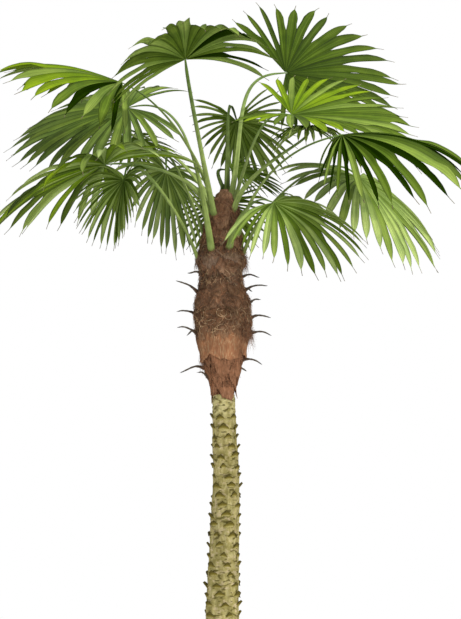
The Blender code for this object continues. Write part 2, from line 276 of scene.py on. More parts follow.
def bark_look():
    """Straw and olive skin with pale spots and a collar, vertical streaks that are partly painted highlight,
    and dark where leaves broke off and along the ledges.
    """
    look, tree = plain("bark_look", (0.30, 0.25, 0.095), 0.85, 0.12)
    grain = stretched_noise(tree, (62, 62, 24), 5.0, roughness=0.66)
    patches = stretched_noise(tree, (13, 13, 15), 4.0)
    spots = stretched_noise(tree, (30, 30, 42), 3.0)
    streaks = stretched_noise(tree, (21, 21, 1.8), 2.0)
    straw = ramp(tree, grain, ((0.28, (0.270, 0.215, 0.072)), (0.50, OLD_STRAW),
                               (0.72, (0.620, 0.560, 0.300))))
    olive = ramp(tree, grain, ((0.28, DAMP_OLIVE), (0.72, (0.400, 0.350, 0.130))))
    damp = ramp(tree, patches, ((0.42, 0), (0.60, 1)))
    spotted = ramp(tree, spots, ((0.54, 0), (0.66, 0.8)))
    # Vertical streaks, lighter and darker at random: partly the bark's own streaks, partly painted highlight
    # down the trunk.
    streaks_and_highlight = ramp(tree, streaks, ((0.36, (0.86, 0.86, 0.83)), (0.62, (1.22, 1.22, 1.20))))
    torn = ramp(tree, mark_read(tree, "scar"), ((0.18, 0), (0.62, 0.92)))
    skin = mixed(tree, damp, straw, olive)
    skin = mixed(tree, spotted, skin, LICHEN)
    skin = multiplied(tree, 1.0, skin, streaks_and_highlight)
    skin = mixed(tree, mark_read(tree, "pale"), skin, PALE_STRAW)
    skin = mixed(tree, torn, skin, SCAR_BROWN)
    return coat(look, skin, grain, 0.002, 0.7)


bark = wrapped_skin("trunk_bark", 150, 540, bark_points, ("scar", "pale"))
cover(bark, bark_look())
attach(bark, "root")
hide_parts("trunk")

# ------------------------------------------------------------------ 2. stubs of old leaves
# What is left where each old leaf was cut or fell: a short wide cap of hard leaf base that stands
# up and out of the bark like a thorn. The cap is as pale as the bark at its foot, and its broken
# upper edge, an arch from the front, is dark olive: partly weathered, partly painted shade on the lip.
STUB_HEIGHT, STUB_REACH, STUB_HALF_WIDTH = 0.036, 0.025, 0.035
STUB_COLUMNS, STUB_ROWS, STUB_THICKNESS = 8, 6, 0.013
STUB_RINGS = range(2, 38)                    # the rows of leaf bases that still show stubs
# RIM_COLOUR: the dark olive of the broken lip, partly weathering and partly painted shade.
FOOT_COLOUR, RIM_COLOUR = (0.47, 0.41, 0.155), (0.120, 0.098, 0.026)


def copies(template, count):
    """The template's bmesh as an array of joined copies, which are then placed one by one."""
    holder = finished("template", template)
    repeat = holder.modifiers.new("array", "ARRAY")
    repeat.count = count
    repeat.relative_offset_displace = (0, 0, 0)
    bpy.context.view_layer.update()
    whole = holder.evaluated_get(bpy.context.evaluated_depsgraph_get())
    mesh = bpy.data.meshes.new_from_object(whole)
    flat = np.zeros(len(mesh.vertices) * 3)
    mesh.vertices.foreach_get("co", flat)
    bpy.data.objects.remove(holder)
    return mesh, flat.reshape(count, -1, 3)


def placed(name, mesh, points):
    """The array's mesh as one piece, with every vertex at its own point."""
    mesh.vertices.foreach_set("co", np.ascontiguousarray(points, float).ravel())
    mesh.update()
    mesh.name = name
    return in_scene(name, mesh)


def marked(mesh, name, values):
    """A value for each vertex, which a material reads by name."""
    mesh.attributes.new(name, "FLOAT", "POINT").data.foreach_set("value", np.ravel(values))


def thickened(piece, thickness, offset):
    """Gives a sheet its thickness: -1 puts it all behind the sheet, 0 half on each side."""
    skin = piece.modifiers.new("thickness", "SOLIDIFY")
    skin.thickness, skin.offset = thickness, offset
    return skin


def build_stubs():
    row = np.repeat(STUB_RINGS, STUBS_ROUND)[:, None]
    place = np.tile(np.arange(STUBS_ROUND), len(STUB_RINGS))[:, None]
    pick = np.random.default_rng(21)
    mesh, flat = copies(grid(STUB_COLUMNS, STUB_ROWS), len(row))
    across, along = flat[..., 0], (flat[..., 1] + 1) / 2
    size = pick.uniform(0.72, 1.15, row.shape) * np.minimum(1, 0.35 + row * STUB_PITCH)
    tilt = pick.uniform(-0.45, 0.45, row.shape)
    reach = STUB_REACH * size * pick.uniform(0.8, 1.12, row.shape)
    foot = (row + STUB_LEVEL) * STUB_PITCH - STUB_HEIGHT * 0.80 + pick.uniform(-0.009, 0.009, row.shape)
    own = row[..., None] * (0.7, 1.9, 3.1)
    ragged = rough(flat * (2.3, 1.4, 0) + own, 1.6)
    width = STUB_HALF_WIDTH * np.interp(along, (0, 0.35, 0.8, 1), (0.75, 1.0, 0.95, 0.80))
    arch = 1 - pick.uniform(0.25, 0.60, row.shape) * abs(across) ** 1.3
    z = foot + STUB_HEIGHT * size * (arch * along + 0.14 * ragged * along) + tilt * across * 0.014
    crown = 1 - 0.75 * abs(across) ** 1.5
    out = trunk_radius(z) - 0.002 + reach * (along ** 1.15) * crown + 0.0015 * ragged * along
    turn = (stub_turn(row, place) + pick.uniform(-0.08, 0.08, row.shape)
            + across * width * size / trunk_radius(z))
    piece = placed("leaf_base_stubs", mesh, round_stem(z, turn, out))
    marked(mesh, "weathered", np.clip(along + 0.12 * ragged, 0, 1))
    thickened(piece, STUB_THICKNESS, -1)
    return piece


def reckoned(tree, operation, *values):
    """The outcome of a sum on numbers and output sockets."""
    node = wired(tree, "ShaderNodeMath", operation=operation)
    for socket, value in zip(node.inputs, values):
        feed(tree, value, socket)
    return node.outputs[0]


def stub_look():
    look, tree = plain("stub_look", (0.36, 0.31, 0.12), 0.9, 0.02)
    grain = stretched_noise(tree, (120, 120, 14), 4.0)
    edge = reckoned(tree, "MULTIPLY_ADD", grain, 0.30, mark_read(tree, "weathered"))
    # Pale at the foot, dark olive at the rim: partly weathered, partly painted shade on the broken lip.
    rim_weathering_and_shade = ramp(tree, edge, ((0.38, FOOT_COLOUR), (0.62, (0.260, 0.212, 0.052)),
                             (0.86, (0.155, 0.122, 0.020)), (1.0, RIM_COLOUR)))
    return coat(look, rim_weathering_and_shade, grain, 0.0015, 0.6)


stubs = build_stubs()
cover(stubs, stub_look())
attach(stubs, "root")

# ------------------------------------------------------------------ 3. fibre sheath
# Under the crown the stem keeps its old leaf sheaths: brown woven matting wrapped round and round
# it, tight and smooth at the bottom and shaggy higher up. The body is the matted core, which
# swells to a belly and narrows again to the heart that the petioles grow from.
CROWN_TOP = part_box("fibre_sheath")[1].z
SHEATH_LINE = ((2.500, 0.074), (2.57, 0.095), (2.66, 0.122), (2.77, 0.150), (2.88, 0.175),
               (3.02, 0.188), (3.12, 0.176), (3.19, 0.146), (3.30, 0.135), (3.38, 0.160),
               (3.46, 0.140), (3.60, 0.120), (3.74, 0.099), (3.82, 0.066), (3.85, 0.030))
RUST, UMBER, PEAT = (0.300, 0.137, 0.073), (0.270, 0.142, 0.078), (0.195, 0.118, 0.076)
STRAW = (0.370, 0.170, 0.088)
TONE_HEIGHTS, TONES_UP = (2.86, 3.12, 3.50), (0, 1, 2, 1)   # where the matting's colour changes
MATTING_SUNK = 0.019                         # how deep the core lies under the sheath's outline
WEAVE_DEPTHS = (0.0030, 0.0025)              # of the threads that lean one way, and the other
BANDS_FROM, BANDS_TO = 2.57, 3.92            # the heights between which the fibre's shade changes


def sheath_radius(z, turn):
    radius = eased(SHEATH_LINE, z)[..., 0]
    body = np.minimum(1, np.minimum((z - TRUNK_TOP) / 0.08, (CROWN_TOP - z) / 0.10))
    ruffle = np.sin(5 * turn + 9 * z) * 0.030 + np.sin(8 * turn - 21 * z) * 0.020
    return radius * (1 + ruffle * np.clip(body, 0, 1))


def matting_points(turn, level):
    z = TRUNK_TOP + (CROWN_TOP - TRUNK_TOP) * level
    bare = round_stem(z, turn, sheath_radius(z, turn))
    leaning = [bare @ np.array(((1, 0, side), (0, 1, side), (0, 0, 1.0))) * (1, 1, 0.22)
               for side in (-0.35, 0.35)]
    weave = sum((1 - abs(rough(side, finer))) * depth
                for side, finer, depth in zip(leaning, (62, 75), WEAVE_DEPTHS))
    shag = np.clip((z - TONE_HEIGHTS[0]) / 0.15, 0.25, 1)
    out = -MATTING_SUNK + weave * shag + rough(bare, 16) * 0.007 * shag + rough(bare, 40) * 0.004 * shag
    ends = np.minimum(1, np.minimum(level / 0.01, (1 - level) / 0.01))
    return round_stem(z, turn, sheath_radius(z, turn) + out * ends), weave / sum(WEAVE_DEPTHS)


def axis_read(tree, coordinates, axis):
    """One coordinate of the point that is looked at."""
    place = tree.nodes.new("ShaderNodeTexCoord").outputs[coordinates]
    return wired(tree, "ShaderNodeSeparateXYZ", Vector=place).outputs[axis]


def ranged(tree, value, low, high):
    """The value as a share of the way from low to high."""
    return wired(tree, "ShaderNodeMapRange", Value=value, From_Min=low, From_Max=high).outputs["Result"]


def fibre_look(name, dark, middle, pale, lean):
    """Brown palm fibre: fine crossing threads over patches that weathered darker or paler."""
    look, tree = plain(name, middle, 0.95, 0.08)
    threads = [stretched_noise(tree, (150, 150, 16), 4.0, turn=(side * lean, side * lean, 0))
               for side in (-1, 1)]
    woven = reckoned(tree, "MAXIMUM", *threads)
    patches = stretched_noise(tree, (13, 13, 9), 4.0, roughness=0.65)
    skin = ramp(tree, woven, ((0.38, dark), (0.55, middle), (0.72, pale)))
    shade = ramp(tree, patches, ((0.32, (0.42, 0.39, 0.37)), (0.52, 1), (0.72, (1.32, 1.24, 1.18))))
    uneven = reckoned(tree, "MULTIPLY_ADD", patches, 0.14, axis_read(tree, "Object", "Z"))
    level = ranged(tree, uneven, BANDS_FROM, BANDS_TO)
    bands = ramp(tree, level, ((0.0, 1), (0.33, (0.98, 0.96, 0.92)), (0.385, (0.74, 0.70, 0.60)),
                               (0.44, (1.25, 1.18, 1.12)), (0.475, 1), (0.53, (1.14, 1.20, 1.28)),
                               (0.62, (1.14, 1.20, 1.28)), (0.69, 1)))
    skin = multiplied(tree, 1.0, skin, bands)
    return coat(look, multiplied(tree, 0.85, skin, shade), woven, 0.004, 0.9)


fibre_looks = [fibre_look("rust_fibre", UMBER, RUST, (0.460, 0.240, 0.145), 0.25),
               fibre_look("umber_fibre", PEAT, UMBER, (0.400, 0.250, 0.160), 0.55),
               fibre_look("peat_fibre", (0.085, 0.048, 0.030), PEAT, (0.330, 0.220, 0.150), 0.75),
               fibre_look("straw_fibre", RUST, STRAW, (0.520, 0.370, 0.220), 0.3)]

matting = wrapped_skin("fibre_matting", 150, 300, matting_points, ("weave",))
cover(matting, *fibre_looks[:3])
for face in matting.data.polygons:
    height = face.center.z + 0.05 * noise.noise(face.center * 9)
    face.material_index = TONES_UP[np.searchsorted(TONE_HEIGHTS, height, side="right")]
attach(matting, "root")
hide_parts("fibre_sheath")

# Flaps: the sheaths' own loose edges. Each is a curved sheet of matting that hugs the stem at its
# top and stands off it below, where its edge has frayed to points.
FLAP_COLUMNS, FLAP_ROWS, FLAP_THICKNESS = 22, 14, 0.0022
FLAPS_SUNK, RIM_HANG = 0.014, 0.055          # how deep they start, and hang down over the trunk
COLLAR_TONE, COLLAR_TORN, COLLAR_HALF_TURN = 3, 0.30, 1.25   # the wide straw flaps of the belly
# Top height, drop, how many round, stand-off and colour, as its place in the list of looks.
FLAP_RINGS = ((2.62, 0.15, 5, 0.004, 0), (2.70, 0.16, 5, 0.003, 0), (2.78, 0.20, 5, 0.004, 0),
              (2.95, 0.225, 4, 0.012, 3), (3.02, 0.18, 6, 0.005, 1), (3.13, 0.16, 6, 0.006, 2),
              (3.22, 0.10, 6, 0.004, 1), (3.38, 0.10, 7, 0.010, 1), (3.46, 0.14, 6, 0.014, 2),
              (3.60, 0.18, 6, 0.010, 1), (3.74, 0.18, 5, 0.008, 1))


def build_flaps():
    pick = np.random.default_rng(5)
    rows = [(top, drop, stand, tone, (place + 0.37 * ring) / many)
            for ring, (top, drop, many, stand, tone) in enumerate(FLAP_RINGS)
            for place in range(many)]
    mesh, flat = copies(grid(FLAP_COLUMNS, FLAP_ROWS), len(rows))
    across, down = flat[..., 0], (1 - flat[..., 1]) / 2
    top, drop, stand, tone, share = (np.array(column, float)[:, None] for column in zip(*rows))
    torn = np.where(tone == COLLAR_TONE, COLLAR_TORN, 1.0)
    top = top + pick.uniform(-0.03, 0.03, top.shape) * torn
    drop = drop * (1 + pick.uniform(-0.25, 0.20, top.shape) * torn)
    half = np.where(tone == COLLAR_TONE, COLLAR_HALF_TURN, pick.uniform(0.62, 0.95, top.shape))
    seed = pick.uniform(0, 40, (len(rows), 1, 3))
    edge, fray, curl = (rough(flat * finer + seed, 1.0)
                        for finer in ((2.6, 0, 0), (9.5, 0, 0), (1.3, 1.6, 0)))
    turn = share * 2 * np.pi + across * half * (1 - 0.28 * down ** 2) + 0.10 * (1 - abs(across)) * down
    length = drop * (1 - torn * (0.50 * across ** 2 - 0.22 * edge - 0.16 * fray * down))
    lowest = TRUNK_TOP - RIM_HANG * (0.4 + 0.6 * abs(np.cos(turn)))
    z = np.clip(top - down * length, lowest, CROWN_TOP - 0.01)
    rim = 0.016 * np.clip((TRUNK_TOP + 0.05 - z) / 0.06, 0, 1)
    out = rim - FLAPS_SUNK + (stand + 0.005) * (0.15 + down ** 1.4) + (0.004 + stand * 0.6) * curl * down
    piece = placed("fibre_flaps", mesh, round_stem(z, turn, sheath_radius(z, turn) + out))
    faded = (pick.random(len(rows)) < 0.2) & (tone[:, 0] < COLLAR_TONE)
    tones = np.repeat(np.where(faded, 1, tone[:, 0]).astype(int), FLAP_COLUMNS * FLAP_ROWS)
    mesh.polygons.foreach_set("material_index", tones)
    cover(piece, *fibre_looks)
    thickened(piece, FLAP_THICKNESS, 0)
    return piece


flaps = build_flaps()
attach(flaps, "root")

# Threads: loose fibres that cross over the matting, hang from the frayed edges and bunch into
# tufts. Each is a thin tapered hair with three sides.
WOVEN_THREADS, LOOSE_HAIRS, STRAW_CURLS = 5200, 3600, 420
WOVEN_SUNK, LOOSE_SUNK, CURLS_SUNK = 0.011, 0.010, 0.006
HAIR_JOINTS, CURL_JOINTS, FULL_TURN = 3, 8, (0, 2 * np.pi)
WOVEN_HEIGHTS, LOOSE_HEIGHTS = (2.56, 3.80), (2.62, 3.78)
RUST_BELOW = 2.84                            # the woven threads turn browner above this height
# Each tuft's turn about the stem, its height and how far it stands out.
TUFTS = ((0.12, 3.40, 0.10), (0.45, 3.37, 0.08), (5.9, 3.42, 0.09), (3.3, 3.41, 0.07), (2.9, 3.36, 0.06),
         (1.6, 3.40, 0.08), (5.1, 3.34, 0.07), (6.2, 3.13, 0.07), (3.25, 3.16, 0.05), (2.2, 3.15, 0.06),
         (4.3, 3.50, 0.07), (6.1, 2.90, 0.10), (5.7, 2.93, 0.11), (3.4, 2.72, 0.06))
CURL_HEIGHTS = ((2.89, 3.06), (2.89, 3.06), (3.20, 3.33), (3.38, 3.58))


def unit(vectors):
    return vectors / np.linalg.norm(vectors, axis=-1, keepdims=True)


def rod(sides, joints):
    """A straight rod from -1 to 1 in height, with joints where it can bend."""
    one = bmesh.new()
    bmesh.ops.create_cone(one, cap_ends=True, segments=sides, radius1=1, radius2=1, depth=2)
    long_edges = [e for e in one.edges if abs(e.verts[0].co.z - e.verts[1].co.z) > 1]
    bmesh.ops.subdivide_edges(one, edges=long_edges, cuts=joints)
    return one


def directions(spine, share, guide):
    """Ahead along a spine that gives points by share, and two ways across it."""
    ahead = unit(spine(share + 0.02) - spine(share - 0.02))
    side = unit(np.cross(ahead, guide))
    return ahead, side, np.cross(ahead, side)


def laid(name, spine, radius, looks, tones, joints=HAIR_JOINTS):
    """Tapered hairs, each wrapped round its own curved spine."""
    mesh, flat = copies(rod(3, joints), len(radius))
    share = (flat[..., 2] + 1) / 2
    _, side, other = directions(spine, share, (0.31, 0.17, 0.93))
    thick = (radius * (1 - 0.75 * share ** 1.5))[..., None]
    piece = placed(name, mesh, spine(share) + (side * flat[..., :1] + other * flat[..., 1:2]) * thick)
    cover(piece, *looks)
    mesh.polygons.foreach_set("material_index", np.repeat(tones, len(mesh.polygons) // len(tones)))
    return piece


def drawn(pick, count, *ranges):
    """A column of random values for each range, one for each hair."""
    return [pick.uniform(low, high, (count, 1)) for low, high in ranges]


def arched(share):
    """Nothing at both ends of a hair and one in its middle."""
    return np.sin(np.pi * np.clip(share, 0, 1))


def shades(colour, *factors):
    """Darker and paler versions of a colour."""
    return [tuple(min(1, value * by) for value in colour) for by in factors]


def hair_look(name, colour):
    look, tree = plain(name, colour, 0.8, 0.15)
    streak = stretched_noise(tree, (40, 40, 40), 2.0)
    dark, pale = shades(colour, 0.55, 1.5)
    return coat(look, ramp(tree, streak, ((0.35, dark), (0.65, pale))))


hair_looks = [hair_look("rust_hair", RUST), hair_look("umber_hair", UMBER),
              hair_look("peat_hair", PEAT), hair_look("straw_hair", STRAW)]


def build_woven_threads(count):
    """Fibres that lie on the matting, most of them slanting one way or the other."""
    pick = np.random.default_rng(8)
    z, turn, length = drawn(pick, count, WOVEN_HEIGHTS, FULL_TURN, (0.05, 0.17))
    shaggy = np.clip((z - 2.82) / 0.12, 0.30, 1)
    length *= 0.5 + 0.5 * shaggy
    slant = pick.choice((-1, 1), (count, 1)) * pick.uniform(0.15, 1.25, (count, 1)) * shaggy
    bow, sway, lift = drawn(pick, count, (0.002, 0.016), (-0.25, 0.25), (0.000, 0.007))

    def spine(share):
        angle = slant + sway * share
        low = z - length * share * np.cos(angle)
        round_by = turn + length * share * np.sin(angle) / sheath_radius(z, turn)
        low = np.clip(low, TRUNK_TOP + 0.01, CROWN_TOP)
        out = sheath_radius(low, round_by) - WOVEN_SUNK + lift * shaggy + bow * shaggy * arched(share)
        return round_stem(low, round_by, out)

    below, above = pick.choice((0, 0, 3, 1), count), pick.choice((0, 1, 1, 2, 2, 3), count)
    tones = np.where(z[:, 0] < RUST_BELOW, below, above)
    radius, = drawn(pick, count, (0.0007, 0.0014))
    return laid("woven_threads", spine, radius, hair_looks, tones)


def build_loose_hair(count):
    """Fibres that hang or stand away from the matting, singly and in tufts."""
    pick = np.random.default_rng(13)
    tuft = pick.integers(0, len(TUFTS), count)
    bunched = (pick.random(count) < 0.55)[:, None]
    around, height, stand = np.array(TUFTS)[tuft].T[..., None]      # of the tuft that each is in
    turn = np.where(bunched, around + pick.normal(0, 0.16, (count, 1)), *drawn(pick, count, FULL_TURN))
    z = np.where(bunched, height + pick.normal(0, 0.025, (count, 1)), *drawn(pick, count, LOOSE_HEIGHTS))
    long, droop, aside, curl = drawn(pick, count, (0.45, 1.1), (-0.55, 1.6), (-1.3, 1.3), (-1.2, 1.2))
    reach = np.where(bunched, stand, 0.026) * long
    reach *= np.interp(z, (3.14, 3.20, 3.32, 3.38), (1, 0.45, 0.45, 1))

    def spine(share):
        out = sheath_radius(z, turn) - LOOSE_SUNK + reach * 0.62 * share * (1 - 0.35 * share)
        round_by = turn + reach * (aside * share + curl * share ** 2) * 0.5 / sheath_radius(z, turn)
        return round_stem(z - reach * droop * np.maximum(share, 0) ** 1.6 * 0.8, round_by, out)

    tones = pick.choice((0, 1, 1, 2, 2, 3), count)
    radius, = drawn(pick, count, (0.0006, 0.0013))
    return laid("loose_hair", spine, radius, hair_looks, tones)


def build_straw_curls(count):
    """Pale dry strands that have sprung loose and curl over the matting, most round the belly."""
    pick = np.random.default_rng(31)
    low, high = np.array(CURL_HEIGHTS)[pick.integers(0, len(CURL_HEIGHTS), count)].T
    z = pick.uniform(low, high)[:, None]
    turn, length, heading, bend = drawn(pick, count, FULL_TURN, (0.04, 0.11), (-2.2, 2.2), (1.3, 4.2))
    curl = bend * pick.choice((-1, 1), (count, 1))
    lift, radius = drawn(pick, count, (0.002, 0.014), (0.0010, 0.0019))

    def spine(share):
        aside = length * (np.cos(heading) - np.cos(heading + curl * share)) / curl
        down = length * (np.sin(heading + curl * share) - np.sin(heading)) / curl
        round_by = turn + aside / sheath_radius(z, turn)
        out = sheath_radius(z - down, round_by) - CURLS_SUNK + lift * arched(share)
        return round_stem(z - down, round_by, out)

    looks = [hair_look("curl_straw", (0.64, 0.44, 0.26))]
    return laid("straw_curls", spine, radius, looks, np.zeros(count, int), CURL_JOINTS)


for piece in (build_woven_threads(WOVEN_THREADS), build_loose_hair(LOOSE_HAIRS),
              build_straw_curls(STRAW_CURLS)):
    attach(piece, "root")

# Hooks: stiff grey ends of old petioles that still stand out of the matting, longest at its two
# sides. Each is thick where it leaves the fibre and ends in a ragged, split tip.
HOOK_RADIUS, HOOK_SIDES, HOOK_JOINTS, HOOK_ROOT, ROUND_HOOKS = 0.0064, 9, 16, 0.022, 16
HOOK_TAPER = ((0, 2.7), (0.25, 1.8), (0.45, 1.10), (0.85, 0.82), (0.93, 0.70), (1, 0.30))
HOOK_START, HOOK_STEP = 42, 137.5            # degrees round from each of the others to the next
CLEAR_SIDE, CLEAR_FRONT = 24, 52             # degrees that the others keep off the sides and front
# Each side hook's azimuth, height, length and rise for its length.
SIDE_HOOKS = ((184, 3.150, 0.125, 0.70), (196, 3.276, 0.080, 0.15), (176, 3.016, 0.110, 0.25),
              (188, 2.880, 0.120, 0.45), (172, 2.670, 0.150, -0.15), (190, 2.600, 0.060, 0.80),
              (-6, 3.256, 0.105, 0.12), (5, 3.165, 0.140, 0.35), (-12, 3.080, 0.065, 0.60),
              (8, 2.996, 0.120, 0.10), (-5, 2.886, 0.130, 0.0), (4, 2.724, 0.110, -0.20))


def hook_rows():
    rows = list(SIDE_HOOKS)
    pick = random.Random(700)
    for index in range(ROUND_HOOKS):
        turn = (HOOK_START + HOOK_STEP * index) % 360
        if min(abs(turn - side) for side in (0, 180, 360)) > CLEAR_SIDE and abs(turn - 270) > CLEAR_FRONT:
            height = 2.68 + 0.60 * index / (ROUND_HOOKS - 1)
            rows.append((turn, height, pick.uniform(0.07, 0.11), pick.uniform(-0.3, 0.4)))
    return rows


def build_hooks():
    rows = np.array(hook_rows())
    mesh, flat = copies(rod(HOOK_SIDES, HOOK_JOINTS), len(rows))
    share = (flat[..., 2] + 1) / 2
    turn, height, length, rise = (column[:, None] for column in rows.T)
    turn = np.radians(turn)
    root = sheath_radius(height, turn) - HOOK_ROOT

    def spine(share):
        wave = 0.004 * np.sin(share * 7 + height * 40)
        rising = height + rise * length * share + wave * share + 0.20 * length * arched(share)
        return round_stem(rising, turn + wave * 0.5 / root, root + (HOOK_ROOT + length) * share)

    ahead, side, other = directions(spine, share, (0, 0, 1.0))
    around = np.arctan2(flat[..., 1], flat[..., 0])
    thick = np.interp(share, *zip(*HOOK_TAPER)) * HOOK_RADIUS
    thick *= 1 + 0.16 * np.sin(around * 3 + height * 60) + 0.10 * np.sin(share * 30 + around * 2)
    across = side * flat[..., :1] * 1.15 + other * flat[..., 1:2] * 0.85
    split = 0.010 * np.sin(around * 2 + height * 25) * np.clip((share - 0.9) / 0.1, 0, 1)
    points = spine(share) + across * thick[..., None] + ahead * split[..., None]
    piece = placed("old_petiole_hooks", mesh, points)
    marked(mesh, "along", share)
    return piece


def hook_look():
    look, tree = plain("hook_look", (0.12, 0.09, 0.065), 0.8, 0.2)
    grain = stretched_noise(tree, (170, 170, 170), 3.0)
    along = mark_read(tree, "along")
    body = ramp(tree, along, ((0.15, (0.115, 0.062, 0.036)), (0.40, (0.110, 0.080, 0.056)),
                              (0.85, (0.135, 0.112, 0.084)), (0.95, (0.065, 0.055, 0.045))))
    shade = ramp(tree, grain, ((0.35, 0.5), (0.65, 1.15)))
    return coat(look, multiplied(tree, 1.0, body, shade), grain, 0.001, 0.6)


hooks = build_hooks()
cover(hooks, hook_look())
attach(hooks, "root")

# ------------------------------------------------------------------ 4. petioles
# Sixteen long leaf stalks rise out of the sheath and arch over to their blades. Each is a
# grey-green half round, hollowed along its upper face, with fine blunt teeth down both edges, and
# it broadens where it leaves the fibre.

# Each frond's name: hub of the blade; its aim as azimuth, elevation and roll in degrees; length of
# the middle leaflets; droop; fold of its halves and half its spread in degrees; and where the
# petiole leaves the sheath, as azimuth and height.
FRONDS = {
    "01": ((0.45, 0.85, 4.88), (14, 8, 56), 0.85, 0.30, 10, 114, (55, 3.80)),
    "02": ((0.46, 0.05, 4.37), (-10, -8, 28), 0.83, 0.22, 15, 125, (15, 3.80)),
    "03": ((0.56, -0.10, 4.24), (-95, 10, 0), 0.38, 1.4, 10, 120, (-40, 3.72)),
    "04": ((0.74, -0.75, 4.04), (-14, 10, 30), 0.94, 1.35, -5, 126, (-30, 3.55)),
    "05": ((0.94, 0.54, 4.05), (-44, -42, 0), 0.84, 0.9, 5, 132, (0, 3.43)),
    "06": ((0.33, -0.38, 3.69), (-26, -22, 26), 0.72, 1.2, 10, 112, (-65, 3.46)),
    "07": ((0.00, 0.85, 3.92), (90, -65, 0), 0.42, 0.6, 10, 140, (90, 3.58)),
    "08": ((0.10, 0.66, 4.48), (60, -55, 0), 0.50, 0.6, 20, 138, (80, 3.70)),
    "09": ((0.06, 0.35, 4.06), (25, 0, 40), 0.42, 0.5, 10, 90, (55, 3.60)),
    "10": ((-0.65, 0.85, 4.39), (60, -20, 10), 0.45, 0.5, 10, 140, (125, 3.70)),
    "11": ((-0.23, -0.56, 4.57), (266, 27, 18), 0.72, 1.0, 0, 96, (235, 3.68)),
    "12": ((-0.65, -0.20, 4.52), (198, 22, -25), 0.86, 0.80, -5, 96, (205, 3.78)),
    "13": ((-0.66, 0.52, 4.54), (178, -10, -34), 0.90, 0.5, 5, 134, (245, 3.44)),
    "14": ((-0.75, -0.32, 3.95), (208, -10, 10), 0.90, 0.9, 10, 142, (205, 3.70)),
    "15": ((-0.62, -0.44, 3.82), (220, -75, -5), 0.46, 1.2, 25, 140, (190, 3.40)),
    "16": ((-0.39, 0.60, 4.11), (90, -45, 40), 0.61, 1.1, 10, 140, (165, 3.57)),
}

PETIOLE_BASE, PETIOLE_MIDDLE, PETIOLE_END = 0.021, 0.012, 0.008
PETIOLE_SIDES, PETIOLE_RINGS = 16, 64
END_SHARE = 0.06                             # share of a petiole in the fibre, and in the blade
HUB_BACK, HUB_SUNK, FOOT_SUNK = 0.06, 0.010, 0.030   # the curve's end, and how far both ends go in
TOOTH_STEP, TOOTH_LENGTH = 0.022, 0.0035
SHADED_STALKS = ("07", "08", "09")           # the stalks at the back of the crown, given a darker look as painted shade


def frond_axes(aim):
    """The blade's axis, its left side and its upper face, from azimuth, elevation and roll."""
    azimuth, elevation, roll = (math.radians(a) for a in aim)
    axis = np.array((math.cos(elevation) * math.cos(azimuth),
                     math.cos(elevation) * math.sin(azimuth), math.sin(elevation)))
    left = np.cross((0, 0, 1), axis)
    left /= np.linalg.norm(left)
    upper = np.cross(axis, left)
    return (axis, left * math.cos(roll) + upper * math.sin(roll),
            upper * math.cos(roll) - left * math.sin(roll))


def petiole_spine(frond, share):
    """Points along a petiole: up and out of the fibre, then over to the hub along its axis."""
    hub, aim, _, _, _, _, (azimuth, height) = frond
    hub, turn = np.array(hub), math.radians(azimuth)
    axis = frond_axes(aim)[0]
    out = np.array((math.cos(turn), math.sin(turn), 0))
    foot = round_stem(np.array(height), turn, sheath_radius(np.array(height), turn))
    end = hub - axis * HUB_BACK
    span = np.linalg.norm(end - foot)
    rise = unit(np.array((0, 0, 1)) + out * 0.35)
    a, b = foot + rise * span * 0.40, end - axis * span * 0.25
    t = np.clip((share - END_SHARE) / (1 - 2 * END_SHARE), 0, 1)[..., None]
    curve = foot * (1 - t) ** 3 + a * 3 * t * (1 - t) ** 2 + b * 3 * t * t * (1 - t) + end * t ** 3
    below = foot - out * FOOT_SUNK - np.array((0, 0, FOOT_SUNK))
    tip = hub + axis * HUB_SUNK
    share = share[..., None]
    curve = np.where(share < END_SHARE, below + (foot - below) * share / END_SHARE, curve)
    last = 1 - END_SHARE
    return np.where(share > last, end + (tip - end) * (share - last) / END_SHARE, curve)


def petiole_frame(frond, share):
    """Points, directions, half widths, sideways and upward vectors along a petiole."""
    points = petiole_spine(frond, share)
    ahead = unit(petiole_spine(frond, share + 0.01) - petiole_spine(frond, share - 0.01))
    _, _, upper = frond_axes(frond[1])
    turn = math.radians(frond[6][0])
    inward = -np.array((math.cos(turn), math.sin(turn), 0))
    facing = inward * (1 - share[..., None]) + upper * share[..., None]
    side = unit(np.cross(facing, ahead))
    radius = np.interp(share, (0, 0.05, 0.15, 0.35, 0.9, 1),
                       (PETIOLE_BASE * 1.15, PETIOLE_BASE, PETIOLE_BASE * 0.80, PETIOLE_MIDDLE,
                        PETIOLE_END, PETIOLE_END * 0.55))
    return points, ahead, radius, side, unit(np.cross(ahead, side))


def build_petiole(name, frond):
    def place(around, share):
        points, _, radius, side, up = petiole_frame(frond, share)
        groove = np.exp(-((around - np.pi / 2) / 0.55) ** 2) * 0.42
        high = np.sin(around) * np.where(np.sin(around) > 0, 0.62, 0.86) - groove
        wide = np.cos(around) * (1.18 + 0.10 * np.exp(-(np.sin(around) / 0.3) ** 2))
        return [points + (side * wide[:, None] + up * high[:, None]) * radius[:, None]]

    return wrapped_skin("petiole_stalk_" + name, PETIOLE_SIDES, PETIOLE_RINGS, place)


